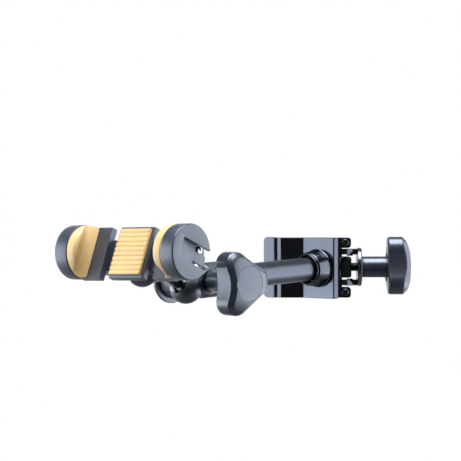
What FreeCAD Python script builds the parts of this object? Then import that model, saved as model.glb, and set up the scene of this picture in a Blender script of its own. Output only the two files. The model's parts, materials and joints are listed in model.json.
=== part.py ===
import FreeCAD, Part
import Sketcher
import math
import os

# Phone holder for a round stand tube: screw clamp, swivel arm, ball joint and spring gripper.
# Millimetres, +Z up, origin on the tube's axis at the height of the clamp screw.
os.makedirs("parts", exist_ok=True)
doc = FreeCAD.newDocument("phone_holder")
V = FreeCAD.Vector
TURN = FreeCAD.Rotation
PLACE = FreeCAD.Placement

# Driving dimensions
SIZES = (
    ("fit_run", 0.05),
    ("gap_face", 0.1),
    ("gap_soft", 0.3),
    # clamp
    ("pole_radius", 9.4),
    ("clamp_height", 40.0),
    ("wall_front", 16.0),
    ("wall_thick", 3.8),
    ("hook_left", 18.8),
    ("hook_thick", 5.8),
    ("hook_back", 12.5),
    ("hook_corner", 2.5),
    ("plate_corner", 1.5),
    ("plate_start", 6.7),
    ("plate_length", 27.2),
    ("plate_thick", 4.2),
    ("lug_start", 31.0),
    ("lug_end", 38.4),
    ("window_height", 26.0),
    ("lug_screw_x", 34.4),
    ("lug_screw_z", 16.5),
    ("pad_thick", 3.6),
    ("pad_height", 34.0),
    ("pad_half_width", 8.0),
    ("block_start", 31.7),
    ("block_length", 7.4),
    ("block_half", 7.0),
    ("rail_inner", 8.4),
    ("rail_outer", 12.2),
    ("rail_half", 4.0),
    ("tab_start", 36.0),
    ("tab_end", 40.0),
    ("tab_front", 7.9),
    ("web_end", 35.2),
    ("web_back", 8.1),
    ("web_inner", 13.0),
    ("carriage_thick", 5.0),
    ("thread_radius", 3.0),
    ("disc_start", 43.1),
    ("disc_thick", 3.0),
    ("disc_radius", 12.9),
    # three-lobed knobs
    ("sleeve_radius", 7.05),
    ("sleeve_length", 16.8),
    ("knob_height", 15.7),
    ("lobe_centre", 12.6),
    ("lobe_radius", 8.5),
    ("flank_radius", 42.0),
    ("knob_face_radius", 11.75),
    ("knob_edge", 3.0),
    ("disc_sink", 1.4),
    ("clamp_knob_start", 46.3),
    # arm
    ("plate_centre_x", 16.6),
    ("plate_centre_y", -26.0),
    ("arm_droop", 2.95),
    ("arm_roll", 1.0),
    ("arm_length", 109.0),
    ("collar_radius", 11.4),
    ("collar_rim_radius", 12.15),
    ("collar_length", 8.2),
    ("collar_mouth_radius", 9.1),
    ("lip_radius", 10.6),
    ("lip_length", 2.0),
    ("tube_radius", 7.75),
    ("tube_bore", 6.3),
    ("head_radius", 11.0),
    ("head_length", 25.0),
    ("barrel_radius", 12.4),
    ("barrel_near", 7.0),
    ("barrel_far", 23.4),
    ("flange_radius", 15.2),
    ("flange_thick", 2.4),
    ("flange_groove", 1.2),
    ("flange_neck_radius", 9.6),
    ("boss_reach", 9.7),
    ("boss_radius", 8.2),
    ("washer_thick", 1.0),
    ("washer_radius", 7.5),
    # ball joint
    ("ball_reach", 12.5),
    ("ball_drop", 3.2),
    ("shell_radius", 10.15),
    ("ball_radius", 7.0),
    ("seat_thick", 0.95),
    ("mouth_angle", 42.0),
    ("neck_radius", 2.9),
    ("shank_radius", 3.6),
    ("nut_radius", 6.8),
    ("stem_foot_radius", 8.0),
    ("stem_waist_radius", 9.6),
    ("stem_flare_radius", 13.6),
    ("grip_yaw", -41.5),
    ("grip_tilt", -21.9),
    ("grip_lean", -1.1),
    # gripper, measured from the middle of the phone's glass
    ("phone_half_width", 35.45),
    ("phone_thick", 7.7),
    ("ball_depth", 63.0),
    ("stem_drop", 2.9),
    ("cap_radius", 16.75),
    ("cap_outer", 49.0),
    ("cap_inner", 40.6),
    ("cap_depth", 10.0),
    ("lip_inner", 33.4),
    ("groove_bottom", 36.9),
    ("soft_back", 10.4),
    ("slide_front", 10.8),
    ("slide_back", 15.2),
    ("slide_half_height", 16.5),
    ("slide_inner", 22.0),
    ("housing_back", 24.0),
    ("housing_half_height", 10.0),
    ("housing_half_width", 33.7),
    ("tongue_thick", 4.0),
    ("tongue_width", 8.0),
    ("shoe_open", 6.25),
    ("shoe_wide", 9.35),
    ("shoe_floor", 44.8),
    ("shoe_lip", 2.1),
    ("shoe_start", 1.0),
    ("screw_spread", 5.3),
    ("screw_depth", 20.2),
    ("recess_depth", 1.2),
)
sheet = doc.addObject("Spreadsheet::Sheet", "sizes")
for number, (alias, value) in enumerate(SIZES, start=1):
    sheet.set("A%d" % number, alias)
    sheet.set("B%d" % number, str(value))
    sheet.setAlias("B%d" % number, alias)
doc.recompute()


def wording(number):
    return getattr(number, "text", "%.6f" % number)


class Size(float):
    """A number that carries the sheet expression it comes from."""
    def __new__(cls, value, text):
        number = float.__new__(cls, value)
        number.text = text
        return number

    def __neg__(self):
        return Size(-float(self), "(-1 * %s)" % self.text)

    def __add__(self, other):
        return Size(float(self) + float(other), "(%s + %s)" % (self.text, wording(other)))

    def __radd__(self, other):
        return Size(float(other) + float(self), "(%s + %s)" % (wording(other), self.text))

    def __sub__(self, other):
        return Size(float(self) - float(other), "(%s - %s)" % (self.text, wording(other)))

    def __rsub__(self, other):
        return Size(float(other) - float(self), "(%s - %s)" % (wording(other), self.text))

    def __mul__(self, other):
        return Size(float(self) * float(other), "(%s * %s)" % (self.text, wording(other)))

    def __rmul__(self, other):
        return Size(float(other) * float(self), "(%s * %s)" % (wording(other), self.text))

    def __truediv__(self, other):
        return Size(float(self) / float(other), "(%s / %s)" % (self.text, wording(other)))


class Sizes:
    def __getattr__(self, alias):
        return Size(sheet.get(alias), "sizes." + alias)


def bind(thing, slot, number):
    """Tie a property to the sheet where its number comes from there."""
    if isinstance(number, Size):
        thing.setExpression(slot, number.text)


s = Sizes()
nodes = {}


# Building helpers
def turn(axis, angle):
    return PLACE(V(0, 0, 0), TURN(axis, angle))


def move(x, y, z):
    return PLACE(V(x, y, z), TURN())


def new_body(label, place=None):
    body = doc.addObject("PartDesign::Body", label)
    body.Label = label
    if place is not None:
        body.Placement = place
    return body


def new_sketch(body, name, role, offset=0.0):
    sketch = body.newObject("Sketcher::SketchObject", name)
    plane = [f for f in body.Origin.OriginFeatures if f.Role == role][0]
    sketch.AttachmentSupport = (plane, [""])
    sketch.MapMode = "FlatFace"
    sketch.AttachmentOffset = PLACE(V(0, 0, offset), TURN())
    return sketch


def polygon(sketch, points):
    """Closed outline whose corners are dimensioned from the sketch's origin."""
    last = len(points) - 1
    first = len(sketch.Geometry)
    ties = []
    for i, (x, y) in enumerate(points):
        x2, y2 = points[i + 1 if i < last else 0]
        sketch.addGeometry(Part.LineSegment(V(x, y, 0), V(x2, y2, 0)), False)
    for i in range(last + 1):
        ties.append(Sketcher.Constraint("Coincident", first + i, 2, first + (i + 1 if i < last else 0), 1))
    sketch.addConstraint(ties)
    for i, corner in enumerate(points):
        for kind, value in zip(("DistanceX", "DistanceY"), corner):
            if abs(value) < 1e-6:
                axis = -2 if kind == "DistanceX" else -1
                sketch.addConstraint(Sketcher.Constraint("PointOnObject", first + i, 1, axis))
            else:
                number = sketch.addConstraint(Sketcher.Constraint(kind, -1, 1, first + i, 1, float(value)))
                bind(sketch, "Constraints[%d]" % number, value)


def circle(sketch, radius):
    edge = sketch.addGeometry(Part.Circle(V(0, 0, 0), V(0, 0, 1), radius), False)
    sketch.addConstraint(Sketcher.Constraint("Coincident", edge, 3, -1, 1))
    number = sketch.addConstraint(Sketcher.Constraint("Radius", edge, float(radius)))
    bind(sketch, "Constraints[%d]" % number, radius)


def extrude(body, name, sketch, length, both=False, down=False):
    pad = body.newObject("PartDesign::Pad", name)
    pad.Profile = sketch
    pad.Length = length
    pad.Midplane = both
    pad.Reversed = down
    bind(pad, "Length", length)
    doc.recompute()
    return pad


def recess(body, name, sketch, length, both=False, down=False):
    before = body.Shape.Volume
    pocket = body.newObject("PartDesign::Pocket", name)
    pocket.Profile = sketch
    pocket.Length = length
    pocket.Midplane = both
    pocket.Reversed = down
    bind(pocket, "Length", length)
    doc.recompute()
    if body.Shape.Volume >= before - 0.01:
        raise ValueError("pocket %s cut nothing" % name)
    return pocket


def turned(label, profile, place=None):
    """A body of revolution about its local Z from (radius, height) points."""
    body = new_body(label, place)
    sketch = new_sketch(body, label + "_profile", "XZ_Plane")
    polygon(sketch, profile)
    solid = body.newObject("PartDesign::Revolution", label + "_turned")
    solid.Profile = sketch
    solid.ReferenceAxis = (sketch, ["V_Axis"])
    solid.Angle = 360
    doc.recompute()
    return body


def box(label, x1, x2, y1, y2, z1, z2, place=None):
    shape = doc.addObject("Part::Box", label)
    shape.Length = x2 - x1
    shape.Width = y2 - y1
    shape.Height = z2 - z1
    bind(shape, "Length", x2 - x1)
    bind(shape, "Width", y2 - y1)
    bind(shape, "Height", z2 - z1)
    base = move(x1, y1, z1)
    shape.Placement = place.multiply(base) if place is not None else base
    return shape


def rod(label, radius, z1, z2, place=None):
    shape = doc.addObject("Part::Cylinder", label)
    shape.Radius = radius
    shape.Height = z2 - z1
    bind(shape, "Radius", radius)
    bind(shape, "Height", z2 - z1)
    base = move(0, 0, z1)
    shape.Placement = place.multiply(base) if place is not None else base
    return shape


def ball(label, radius, place):
    shape = doc.addObject("Part::Sphere", label)
    shape.Radius = radius
    bind(shape, "Radius", radius)
    shape.Placement = place
    return shape


def fuse(label, *shapes):
    joined = doc.addObject("Part::MultiFuse", label)
    joined.Shapes = list(shapes)
    joined.Refine = True
    doc.recompute()
    return joined


def cut(label, base, *tools):
    tool = tools[0] if len(tools) == 1 else fuse(label + "_tools", *tools)
    result = doc.addObject("Part::Cut", label)
    result.Base = base
    result.Tool = tool
    result.Refine = True
    doc.recompute()
    return result


def dress(body, kind, name, size, pick):
    """Chamfer or fillet the edges of the body's last feature that pick(edge) chooses."""
    last = body.Tip
    edges = ["Edge%d" % (i + 1) for i, edge in enumerate(last.Shape.Edges) if pick(edge)]
    feature = body.newObject("PartDesign::" + kind, name)
    feature.Base = (last, edges)
    slot = "Size" if kind == "Chamfer" else "Radius"
    setattr(feature, slot, size)
    bind(feature, slot, size)
    doc.recompute()
    if "Invalid" in feature.State or not feature.Shape.isValid():
        raise ValueError("%s failed on %d edges" % (name, len(edges)))
    return feature


def keep(name, shape_object):
    nodes[name] = shape_object


def group(label, shapes):
    """Identical fasteners as one node of separate solids."""
    doc.recompute()
    feature = doc.addObject("Part::Feature", label)
    feature.Shape = Part.Compound([piece.Shape.copy() for piece in shapes])
    return feature


# Frames of the assembly
UPRIGHT = turn(V(1, 0, 0), 90)
PLATE_CENTRE = V(s.plate_centre_x, s.plate_centre_y, 0)
ARM = PLACE(PLATE_CENTRE, TURN(V(0, 0, 1), -45)).multiply(UPRIGHT)
ARM = ARM.multiply(turn(V(1, 0, 0), s.arm_droop)).multiply(turn(V(0, 0, 1), -s.arm_roll))
CROSSING = ARM.multiply(move(0, 0, s.arm_length))
KNOB_LINE = CROSSING.multiply(turn(V(0, 1, 0), 90))
BALL_CENTRE = ARM.multVec(V(0, -s.ball_drop, s.arm_length + s.ball_reach))
GRIP_TURN = TURN(V(0, 0, 1), s.grip_yaw).multiply(TURN(V(1, 0, 0), s.grip_tilt))
GRIP_TURN = GRIP_TURN.multiply(TURN(V(0, 1, 0), s.grip_lean)).multiply(TURN(V(1, 0, 0), 90))
BALL = PLACE(BALL_CENTRE, GRIP_TURN)
GRIP = BALL.multiply(move(0, s.stem_drop, s.ball_depth))
SCREW_LINE = PLACE(V(0, 0, 0), TURN(V(0, 1, 0), 90))
CLAMP_KNOB = PLACE(V(s.clamp_knob_start, 0, 0), TURN(V(0, 0, 1), 90).multiply(TURN(V(1, 0, 0), 90)))

# Clamp body: hook, front wall, arm plate turned by 45 degrees and two lugs
half = s.clamp_height / 2
inner_wall = s.wall_front - s.wall_thick
hook_inside = s.hook_left - s.hook_thick
run = s.plate_length * math.sqrt(0.5)
skin = s.plate_thick * math.sqrt(0.5)
plate_tip_x = s.plate_start + run
plate_tip_y = -s.wall_front - run
back_meets = plate_tip_x + skin - (run - skin)
body = new_body("clamp_casting")
plan = new_sketch(body, "clamp_plan", "XY_Plane")
polygon(plan, (
    (-8.0, -s.wall_front),
    (s.plate_start, -s.wall_front),
    (plate_tip_x, plate_tip_y),
    (plate_tip_x + skin, plate_tip_y + skin),
    (back_meets, -s.wall_front),
    (s.lug_end, -s.wall_front),
    (s.lug_end, -inner_wall),
    (-hook_inside, -inner_wall),
    (-hook_inside, s.hook_back - 2.5),
    (-hook_inside + 1.2, s.hook_back - 0.8),
    (-hook_inside + 0.4, s.hook_back),
    (-s.hook_left + 2.4, s.hook_back),
    (-s.hook_left, s.hook_back - 2.6),
    (-s.hook_left, -9.2),
    (-s.hook_left + 0.9, -11.4),
    (-s.hook_left + 2.6, -13.2),
    (-s.hook_left + 5.0, -14.2),
    (-s.hook_left + 6.3, -14.2),
    (-s.hook_left + 6.7, -13.4),
    (-s.hook_left + 7.2, -13.4),
    (-11.0, -14.9),
    (-9.7, -15.7),
))
extrude(body, "clamp_height_pad", plan, s.clamp_height, both=True)


def plate_edges(edge):
    level = edge.BoundBox.ZMax - edge.BoundBox.ZMin < 0.01
    return level and edge.BoundBox.YMin < -s.wall_front - 2


dress(body, "Chamfer", "clamp_edges", 0.5, plate_edges)
window = new_sketch(body, "clamp_window", "XZ_Plane")
polygon(window, (
    (s.lug_start, -s.window_height / 2),
    (s.lug_end + 1, -s.window_height / 2),
    (s.lug_end + 1, s.window_height / 2),
    (s.lug_start, s.window_height / 2),
))
recess(body, "clamp_window_cut", window, 60, both=True)


def lug_corners(edge):
    box_ = edge.BoundBox
    along = abs(box_.XMax - s.lug_end) < 0.01 and abs(box_.XMin - s.lug_end) < 0.01
    across = box_.YMax - box_.YMin > s.wall_thick - 1.2 and box_.ZMax - box_.ZMin < 0.6
    return along and across


dress(body, "Fillet", "lug_rounding", 2.6, lug_corners)
collar = turned("arm_collar", (
    (0, -s.plate_thick + 0.6), (s.collar_rim_radius - 1, -s.plate_thick + 0.6), (s.collar_rim_radius, -1.0),
    (s.collar_rim_radius, 1.3), (s.collar_rim_radius - 0.5, 1.8), (s.collar_radius, 2.0),
    (s.collar_radius - 0.5, s.collar_length), (0, s.collar_length),
), ARM)
collar_bore = turned("collar_bore", (
    (0, -12), (s.thread_radius + 2 * s.fit_run, -12), (s.thread_radius + 2 * s.fit_run, 0.5),
    (s.tube_radius + s.fit_run, 0.5), (s.tube_radius + s.fit_run, 4.2),
    (s.collar_mouth_radius, 4.6), (s.collar_mouth_radius, s.collar_length + 1), (0, s.collar_length + 1),
), ARM)
back_seat = rod("pivot_seat", 6.4, -s.plate_thick - 6, -s.plate_thick + 0.35, ARM)


def corner_cutter(label, radius, depth, place):
    """Cutter for a round corner whose square corner is at the local origin, inwards along +X and +Y."""
    square = box(label + "_square", -1, radius, -1, radius, -depth, depth, place)
    round_ = rod(label + "_round", radius, -depth - 1, depth + 1, place.multiply(move(radius, radius, 0)))
    return cut(label, square, round_)


corners = []
plate_tip = PLACE(V(plate_tip_x, plate_tip_y, 0), TURN(V(0, 0, 1), -45))
for side in (1, -1):
    across = TURN(V(1, 0, 0), -90 * side)
    hook_corner = PLACE(V(-s.hook_left, 0, side * half), across)
    corners.append(corner_cutter("hook_corner", s.hook_corner, 16.5, hook_corner))
    tip_corner = plate_tip.multiply(PLACE(V(0, 0, side * half), TURN(V(0, 0, 1), 180)).multiply(PLACE(V(0, 0, 0), across)))
    corners.append(corner_cutter("plate_corner", s.plate_corner, 8, tip_corner))
lug_seats = []
for side in (1, -1):
    at = PLACE(V(s.lug_screw_x, -s.wall_front, side * s.lug_screw_z), TURN(V(1, 0, 0), -90))
    lug_seats.append(rod("lug_seat", 2.9, -1, 1.6, at))
    lug_seats.append(rod("lug_hole", 1.55, 0, 6, at))
keep("clamp_body", cut("clamp_body", fuse("clamp_with_collar", body, collar), collar_bore, back_seat, *corners, *lug_seats))
keep("collar_ring", turned("collar_ring", (
    (s.collar_mouth_radius, s.collar_length + s.gap_face), (s.lip_radius + 0.1, s.collar_length + s.gap_face),
    (s.lip_radius + 0.3, s.collar_length + 0.6), (s.lip_radius, s.collar_length + s.lip_length - 0.4),
    (s.lip_radius - 0.5, s.collar_length + s.lip_length), (s.collar_mouth_radius + 0.4, s.collar_length + s.lip_length),
    (s.collar_mouth_radius, s.collar_length + s.lip_length - 0.5),
), ARM))


# Grip pads with a hollow of the tube's radius
def pole_pad(label, x1, x2, height):
    blank = box(label + "_blank", x1, x2, -s.pad_half_width, s.pad_half_width, -height / 2, height / 2)
    return cut(label, blank, rod(label + "_hollow", s.pole_radius, -height, height))


pad_tip = s.pole_radius * 0.83
keep("hook_pad", pole_pad("hook_pad", -hook_inside + s.gap_face, -pad_tip, s.pad_height))
pad_back = s.pole_radius + s.pad_thick
keep("jaw_pad", pole_pad("jaw_pad", pad_tip, pad_back, s.pad_height))

# Jaw carriage: jaw plate and two rails that reach past the screw block to the disc
carriage_front = pad_back + s.gap_face
carriage_back = carriage_front + s.carriage_thick
jaw_plate = box("jaw_plate", carriage_front, carriage_back, -inner_wall + s.gap_soft, s.pad_half_width + 1,
                -half + 1, half - 1)
rails = []
for side in (1, -1):
    low, high = sorted((side * s.rail_inner, side * s.rail_outer))
    rails.append(box("jaw_rail", carriage_back - 0.5, s.disc_start - s.gap_face, -s.rail_half, s.rail_half, low, high))
    inner, outer = sorted((side * (s.rail_inner - 0.8), side * (s.rail_outer + 0.2)))
    rails.append(box("jaw_tab", s.tab_start, s.tab_end, -s.tab_front, -s.rail_half + 0.5, inner, outer))
tip_hole = rod("jaw_tip_hole", s.thread_radius + s.fit_run, carriage_front + 1.5, carriage_back + 1, SCREW_LINE)
keep("jaw_carriage", cut("jaw_carriage", fuse("jaw_joined", jaw_plate, *rails), tip_hole))

# Screw block between the lugs, with the threaded hole
block_end = s.block_start + s.block_length
block_front = -inner_wall + s.gap_face
core = box("block_core", s.block_start, block_end, -s.web_back - 1, s.block_half, -s.block_half, s.block_half)
web = box("block_web", s.block_start, s.web_end, block_front, -s.web_back, -half + 0.6, half - 0.6)
arms = []
for side in (1, -1):
    low, high = sorted((side * (s.web_inner + 0.1), side * (half - 0.6)))
    arms.append(box("block_arm", s.block_start, s.lug_end - 0.4, block_front, -6.4, low, high))
tools = [rod("block_thread", s.thread_radius + s.fit_run, 0, 80, SCREW_LINE)]
for side in (1, -1):
    at = PLACE(V(s.lug_screw_x, -s.wall_front, side * s.lug_screw_z), TURN(V(1, 0, 0), -90))
    tools.append(rod("block_screw_hole", 1.55, 0, 20, at))
keep("screw_block", cut("screw_block", fuse("block_joined", core, web, *arms), *tools))


def cap_screw(label, place, head_radius, head, shank_radius, shank, socket=0.9):
    """Round-headed screw: head above the local origin, shank below it."""
    blank = turned(label + "_blank", (
        (0, -shank), (shank_radius, -shank), (shank_radius, 0), (head_radius, 0),
        (head_radius, head * 0.55), (head_radius * 0.8, head), (0, head),
    ), place)
    drive = box(label + "_drive", -head_radius * 0.62, head_radius * 0.62, -0.25, 0.25, head - 0.6, head + 1, place)
    drive2 = box(label + "_drive2", -0.25, 0.25, -head_radius * 0.62, head_radius * 0.62, head - 0.6, head + 1, place)
    return cut(label, blank, drive, drive2)


lug_screws = []
for side in (1, -1):
    seat = PLACE(V(s.lug_screw_x, -s.wall_front + 1.6 - s.gap_face, side * s.lug_screw_z), TURN(V(1, 0, 0), 90))
    lug_screws.append(cap_screw("lug_screw_%d" % (side + 1), seat, 2.6, 1.1, 1.5, 7.4))
keep("lug_screws", group("lug_screws", lug_screws))

# Disc that couples the rails to the screw
keep("thrust_disc", turned("thrust_disc", (
    (s.thread_radius + s.fit_run, s.disc_start), (s.disc_radius - 0.5, s.disc_start), (s.disc_radius, s.disc_start + 0.5),
    (s.disc_radius, s.disc_start + s.disc_thick - 0.5), (s.disc_radius - 0.5, s.disc_start + s.disc_thick),
    (s.thread_radius + s.fit_run, s.disc_start + s.disc_thick),
), SCREW_LINE))


# Three-lobed knob: local Z runs from the sleeve's foot to the face
def lobed_outline(sketch, angle):
    across = 0.5 * s.lobe_centre
    aside = s.lobe_centre * math.sin(math.radians(60))
    reach = across + math.sqrt((s.flank_radius + s.lobe_radius) ** 2 - aside ** 2)
    swing = math.degrees(math.atan2(aside, reach - across))

    def point(distance, direction):
        return V(distance * math.cos(math.radians(direction)), distance * math.sin(math.radians(direction)), 0)

    for lobe in range(3):
        direction = angle + 120 * lobe
        centre = point(s.lobe_centre, direction)
        start = centre + point(s.lobe_radius, direction - 60 - swing)
        middle = centre + point(s.lobe_radius, direction)
        end = centre + point(s.lobe_radius, direction + 60 + swing)
        sketch.addGeometry(Part.Arc(start, middle, end), False)
        hollow = point(reach, direction + 60)
        next_centre = point(s.lobe_centre, direction + 120)
        finish = next_centre + point(s.lobe_radius, direction + 60 - swing)
        inner = hollow + point(s.flank_radius, direction + 240)
        sketch.addGeometry(Part.Arc(end, inner, finish), False)


def lobed_knob(label, place, angle, bore_depth):
    knob = new_body(label, place)
    outline = new_sketch(knob, label + "_outline", "XY_Plane", s.sleeve_length)
    lobed_outline(outline, angle)
    extrude(knob, label + "_head", outline, s.knob_height)
    top = s.sleeve_length + s.knob_height
    dome = new_sketch(knob, label + "_dome", "XZ_Plane")
    start, middle, end = V(s.knob_face_radius, top - 0.05, 0), V(17.0, top - 1.6, 0), V(23.0, top - 4.6, 0)
    dome.addGeometry(Part.Arc(start, middle, end), False)
    for first, second in ((end, V(26, top - 4.6, 0)), (V(26, top - 4.6, 0), V(26, top + 1, 0)),
                          (V(26, top + 1, 0), V(s.knob_face_radius, top + 1, 0)), (V(s.knob_face_radius, top + 1, 0), start)):
        dome.addGeometry(Part.LineSegment(first, second), False)
    groove = knob.newObject("PartDesign::Groove", label + "_dome_cut")
    groove.Profile = dome
    groove.ReferenceAxis = (dome, ["V_Axis"])
    groove.Angle = 360
    doc.recompute()

    def face_edges(edge):
        low = edge.BoundBox.ZMin
        far = max(math.hypot(vertex.Point.x, vertex.Point.y) for vertex in edge.Vertexes)
        return low > top - 6 and edge.BoundBox.ZMax < top and far > s.knob_face_radius + 1

    def foot_edges(edge):
        return edge.BoundBox.ZMax < s.sleeve_length + 0.01

    dress(knob, "Fillet", label + "_face_edge", s.knob_edge, face_edges)
    dress(knob, "Fillet", label + "_foot", 1.6, foot_edges)
    sleeve = new_sketch(knob, label + "_sleeve_circle", "XY_Plane")
    circle(sleeve, s.sleeve_radius)
    extrude(knob, label + "_sleeve", sleeve, s.sleeve_length + 1)
    bore = new_sketch(knob, label + "_bore_circle", "XY_Plane")
    circle(bore, s.thread_radius + s.fit_run)
    recess(knob, label + "_bore", bore, bore_depth, down=True)
    seat = new_sketch(knob, label + "_face_seat", "XY_Plane", top)
    circle(seat, s.knob_face_radius - 1.0)
    recess(knob, label + "_face_recess", seat, s.disc_sink)
    return knob


def knob_cap(label, place):
    top = s.sleeve_length + s.knob_height
    rim = s.knob_face_radius - 1.0 - s.gap_face
    return turned(label, (
        (0, top - s.disc_sink + s.gap_face), (rim, top - s.disc_sink + s.gap_face), (rim, top - 0.3), (rim - 0.3, top),
        (0, top),
    ), place)


# Clamp screw with its knob
keep("clamp_knob", lobed_knob("clamp_knob", CLAMP_KNOB, -7.5, s.sleeve_length + 8))
keep("clamp_knob_cap", knob_cap("clamp_knob_cap", CLAMP_KNOB))
screw_tip = carriage_front + 1.5 + s.gap_face
screw_end = s.clamp_knob_start + s.sleeve_length + 7.5
keep("clamp_screw", turned("clamp_screw", (
    (0, screw_tip), (s.thread_radius - 0.6, screw_tip), (s.thread_radius, screw_tip + 0.6),
    (s.thread_radius, screw_end), (0, screw_end),
), SCREW_LINE))

# Arm tube with its plug and pivot screw
tube_start = 0.5 + s.gap_face
tube_end = s.arm_length - s.thread_radius - 1.4
keep("arm_tube", turned("arm_tube", (
    (s.tube_bore, tube_start), (s.tube_radius, tube_start), (s.tube_radius, tube_end), (s.tube_bore, tube_end),
), ARM))
keep("tube_plug", turned("tube_plug", (
    (s.thread_radius + s.fit_run, tube_start), (s.tube_bore - s.fit_run, tube_start), (s.tube_bore - s.fit_run, 16),
    (s.thread_radius + s.fit_run, 16),
), ARM))
keep("pivot_washer", turned("pivot_washer", (
    (s.thread_radius + s.fit_run, -s.plate_thick - 0.65), (6.0, -s.plate_thick - 0.65), (6.0, -s.plate_thick + 0.25),
    (s.thread_radius + s.fit_run, -s.plate_thick + 0.25),
), ARM))
pivot_at = ARM.multiply(PLACE(V(0, 0, -s.plate_thick - 0.75), TURN(V(1, 0, 0), 180)))
keep("pivot_screw", cap_screw("pivot_screw", pivot_at, 4.9, 2.6, s.thread_radius, s.plate_thick + 16))

head_start = s.arm_length - s.head_length

# Arm head: tube socket, cross barrel, knob boss and spherical shell of the ball joint
socket = turned("head_socket", (
    (0, head_start), (s.head_radius - 1, head_start), (s.head_radius, head_start + 1),
    (s.head_radius, s.arm_length), (s.head_radius - 1, s.arm_length + 1), (0, s.arm_length + 1),
), ARM)
barrel = turned("head_barrel", (
    (0, -s.barrel_far), (s.barrel_radius - 0.6, -s.barrel_far), (s.barrel_radius, -s.barrel_far + 0.6),
    (s.barrel_radius, -s.barrel_near - 0.8), (s.barrel_radius - 0.8, -s.barrel_near), (0, -s.barrel_near),
), KNOB_LINE)
boss = rod("head_boss", s.boss_radius, 0, s.boss_reach, KNOB_LINE)
shell = ball("head_shell", s.shell_radius, BALL)
neck = rod("head_neck", 7.4, s.arm_length - 6, s.arm_length + s.ball_reach, ARM.multiply(move(0, -s.ball_drop * 0.75, 0)))
head_blank = fuse("head_blank", socket, barrel, boss, shell, neck)
cavity_radius = s.ball_radius + s.seat_thick + 2 * s.fit_run
mouth = doc.addObject("Part::Cone", "head_mouth")
mouth.Radius1 = 0.1
mouth.Radius2 = 0.1 + 14 * math.tan(math.radians(s.mouth_angle))
mouth.Height = 14
mouth.Placement = BALL
head_tools = [
    ball("head_cavity", cavity_radius, BALL),
    mouth,
    rod("head_tube_bore", s.tube_radius + s.fit_run, head_start - 1, tube_end + s.gap_face, ARM),
    rod("head_bolt_hole", s.thread_radius + 2 * s.fit_run, -s.barrel_far - 1, s.boss_reach + 5, KNOB_LINE),
    rod("head_plug_bore", s.barrel_radius - 3.4, -s.barrel_far - 1, -s.barrel_far + 11, KNOB_LINE),
    box("head_boss_flat", -9, 9, -12, 12, s.boss_reach, s.boss_reach + 6, KNOB_LINE),
    rod("head_grub_hole", 2.05, -16, -s.tube_radius + 1, ARM.multiply(PLACE(V(0, 0, head_start + 8), TURN(V(1, 0, 0), -90)))),
]
keep("arm_head", cut("arm_head", head_blank, *head_tools))
keep("grub_screw", turned("grub_screw", (
    (0, -s.head_radius + 0.5), (1.0, -s.head_radius + 0.5), (1.0, -s.head_radius - 0.4 + 1.6),
    (1.2, -s.head_radius + 1.2), (1.2, -s.head_radius + 0.3), (2.0, -s.head_radius + 0.3),
    (2.0, -s.tube_radius - 2 * s.fit_run), (0, -s.tube_radius - 2 * s.fit_run),
), ARM.multiply(PLACE(V(0, 0, head_start + 8), TURN(V(1, 0, 0), -90)))))

# Draw flange on the far end of the barrel
flange_foot = -s.barrel_far - s.flange_groove
flange_end = flange_foot - s.flange_thick
keep("draw_flange", turned("draw_flange", (
    (s.thread_radius + s.fit_run, -s.barrel_far + 10.8), (s.thread_radius + s.fit_run, flange_end + 1.2),
    (0, flange_end + 1.2), (0, flange_end), (s.flange_radius - 0.6, flange_end), (s.flange_radius, flange_end + 0.6),
    (s.flange_radius, flange_foot - 0.4), (s.flange_radius - 0.4, flange_foot),
    (s.flange_neck_radius, flange_foot), (s.flange_neck_radius, -s.barrel_far - s.gap_face), (s.barrel_radius - 3.4 - s.fit_run, -s.barrel_far - s.gap_face),
    (s.barrel_radius - 3.4 - s.fit_run, -s.barrel_far + 10.8),
), KNOB_LINE))

# Arm knob, washer and bolt
washer_foot = s.boss_reach + s.gap_face
keep("knob_washer", turned("knob_washer", (
    (s.thread_radius + 2 * s.fit_run, washer_foot), (s.washer_radius, washer_foot), (s.washer_radius, washer_foot + s.washer_thick),
    (s.thread_radius + 2 * s.fit_run, washer_foot + s.washer_thick),
), KNOB_LINE))
knob_foot = washer_foot + s.washer_thick + s.gap_face
ARM_KNOB = KNOB_LINE.multiply(move(0, 0, knob_foot))
keep("arm_knob", lobed_knob("arm_knob", ARM_KNOB, 0, s.sleeve_length + 8))
keep("arm_knob_cap", knob_cap("arm_knob_cap", ARM_KNOB))
keep("arm_knob_bolt", turned("arm_knob_bolt", (
    (0, flange_end + 2.2), (s.thread_radius - 0.5, flange_end + 2.2), (s.thread_radius, flange_end + 2.7),
    (s.thread_radius, knob_foot + s.sleeve_length + 7.5), (0, knob_foot + s.sleeve_length + 7.5),
), KNOB_LINE))

# Ball seat: a cup behind the ball
seat_outer = s.ball_radius + s.seat_thick + s.fit_run
seat_shell = ball("seat_outer", seat_outer, BALL)
seat_tools = [ball("seat_inner", s.ball_radius + s.fit_run, BALL), box("seat_front", -12, 12, -12, 12, 3.5, 12, BALL)]
keep("ball_seat", cut("ball_seat", seat_shell, *seat_tools))

# Ball stud: ball, neck, collar and shank towards the gripper
stem_front = s.ball_depth - s.housing_back
collar_near = stem_front - 15.0
shank_end = stem_front - 3.0
stud_ball = ball("stud_ball", s.ball_radius, BALL)
stud_rod = turned("stud_rod", (
    (0, 0), (s.neck_radius, 0), (s.neck_radius, collar_near - 1), (s.neck_radius + 2.6, collar_near),
    (s.neck_radius + 2.6, collar_near + 2.4), (s.shank_radius, collar_near + 2.4), (s.shank_radius, shank_end),
    (0, shank_end),
), BALL)
keep("ball_stud", fuse("ball_stud", stud_ball, stud_rod))

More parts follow.
